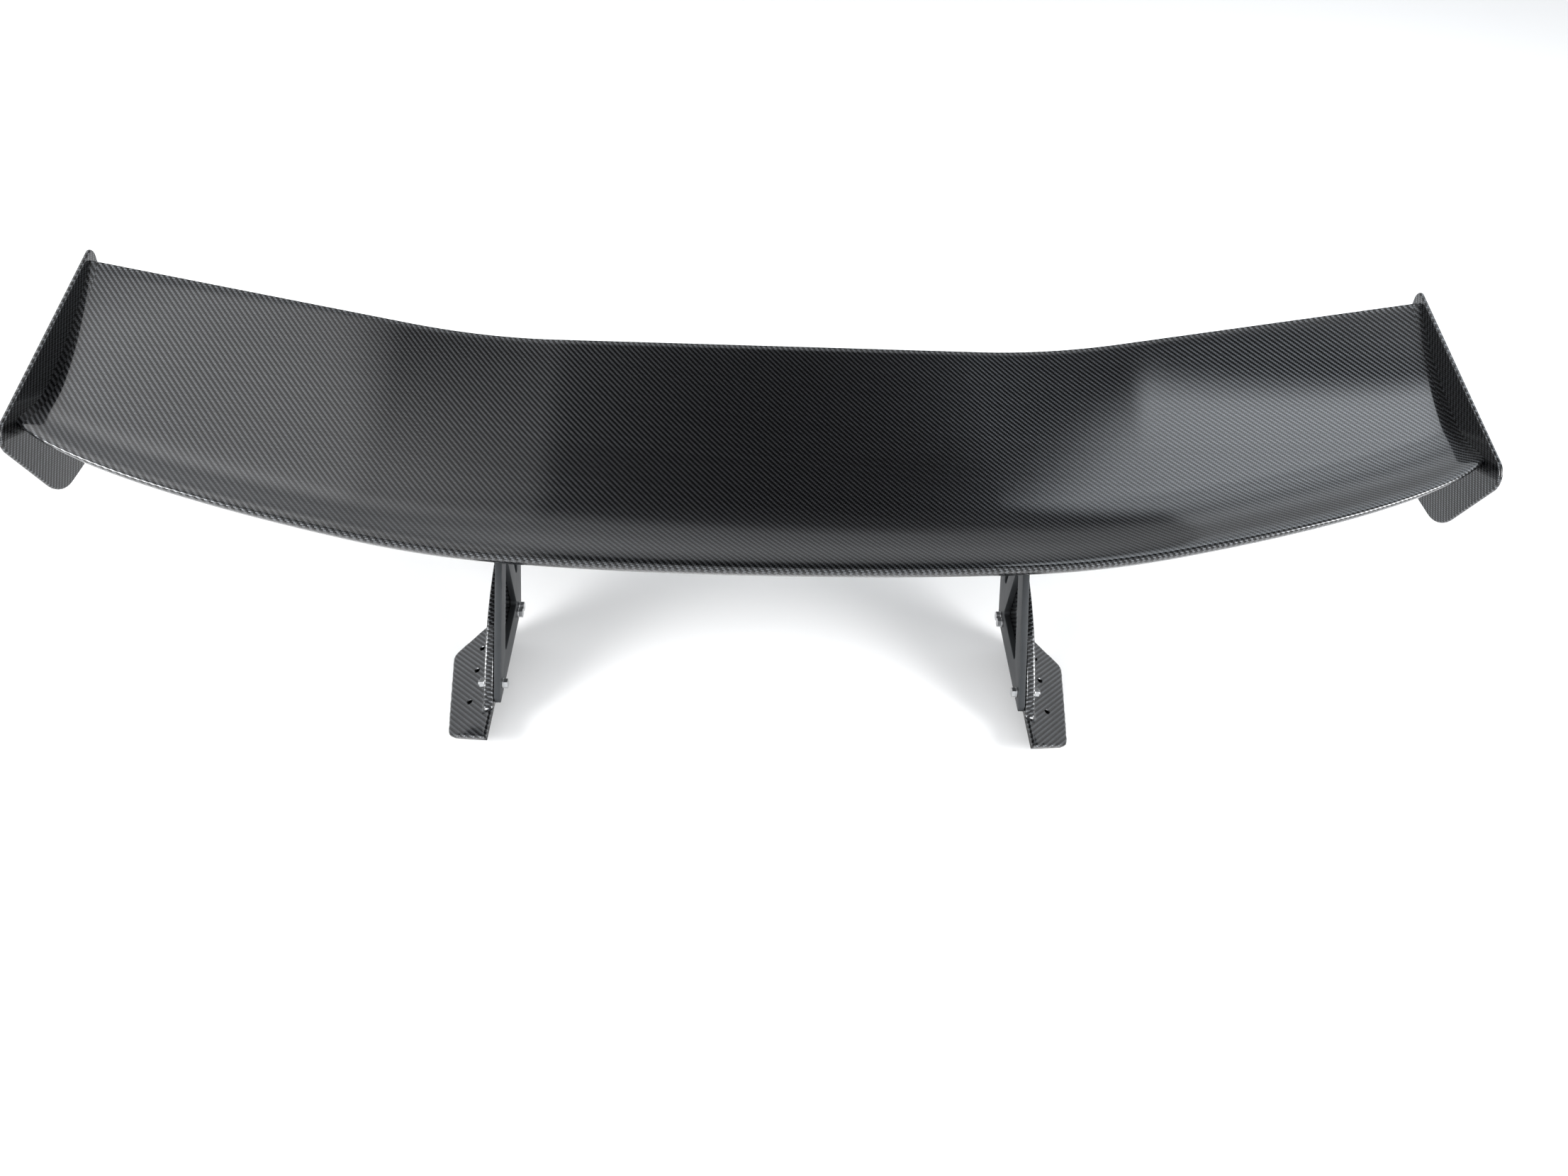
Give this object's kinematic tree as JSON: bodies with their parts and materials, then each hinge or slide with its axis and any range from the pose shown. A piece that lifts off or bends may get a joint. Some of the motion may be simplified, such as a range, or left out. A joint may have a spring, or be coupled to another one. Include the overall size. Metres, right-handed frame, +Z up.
{
  "type": "racing rear wing",
  "caption": "Carbon rear wing with a dropped centre, swept tips and endplates, tilting on two windowed plate uprights bolted to finned feet.",
  "frame": {"origin": "middle of the underside of the whole wing's bounding box, on the car's centre plane", "axes": "+X to the car's left, +Y to the rear of the car, +Z up; the leading edge faces -Y"},
  "size_m": [1.6362, 0.4384, 0.4099],
  "materials": {
    "carbon": "clear-coated twill carbon fibre",
    "inner_carbon": "uncoated carbon fibre",
    "black_anodised": "satin black anodised",
    "dark_steel": "black oxide",
    "steel": "zinc plated",
    "brass": "turned",
    "rubber": "matt"
  },
  "bodies": {
    "stand": {"backing_plate_left": "black_anodised", "backing_plate_right": "black_anodised", "fin_bolts_left": "steel", "fin_bolts_right": "steel", "fin_nuts_left": "steel", "fin_nuts_right": "steel", "fin_washers_left": "steel", "fin_washers_right": "steel", "foot_gasket_left": "rubber", "foot_gasket_right": "rubber", "foot_left": "carbon", "foot_right": "carbon", "lock_bolt_left": "steel", "lock_bolt_right": "steel", "lock_nut_left": "steel", "lock_nut_right": "steel", "lock_washers_left": "steel", "lock_washers_right": "steel", "pivot_bolt_left": "steel", "pivot_bolt_right": "steel", "pivot_nut_left": "steel", "pivot_nut_right": "steel", "pivot_sleeve_left": "steel", "pivot_sleeve_right": "steel", "pivot_washers_left": "steel", "pivot_washers_right": "steel", "upright_left": "black_anodised", "upright_right": "black_anodised"},
    "wing": {"centre_rib": "inner_carbon", "endplate_left": "carbon", "endplate_right": "carbon", "endplate_screws_left": "dark_steel", "endplate_screws_right": "dark_steel", "endplate_washers_left": "dark_steel", "endplate_washers_right": "dark_steel", "mount_ribs_left": "inner_carbon", "mount_ribs_right": "inner_carbon", "nut_plate_left": "black_anodised", "nut_plate_right": "black_anodised", "outer_rib_left": "inner_carbon", "outer_rib_right": "inner_carbon", "tab_screws_left": "steel", "tab_screws_right": "steel", "tip_inserts_left": "brass", "tip_inserts_right": "brass", "tip_rib_left": "carbon", "tip_rib_right": "carbon", "wing_lower_skin": "carbon", "wing_main_spar": "inner_carbon", "wing_rear_spar": "inner_carbon", "wing_tab_left": "black_anodised", "wing_tab_right": "black_anodised", "wing_upper_skin": "carbon"}
  },
  "joints": [
    {"name": "wing_angle", "type": "hinge", "parent": "stand", "child": "wing", "pos_m": [0, 0.12334, 0.23763], "axis": [1, 0, 0], "range_deg": [-5, 5]}
  ]
}
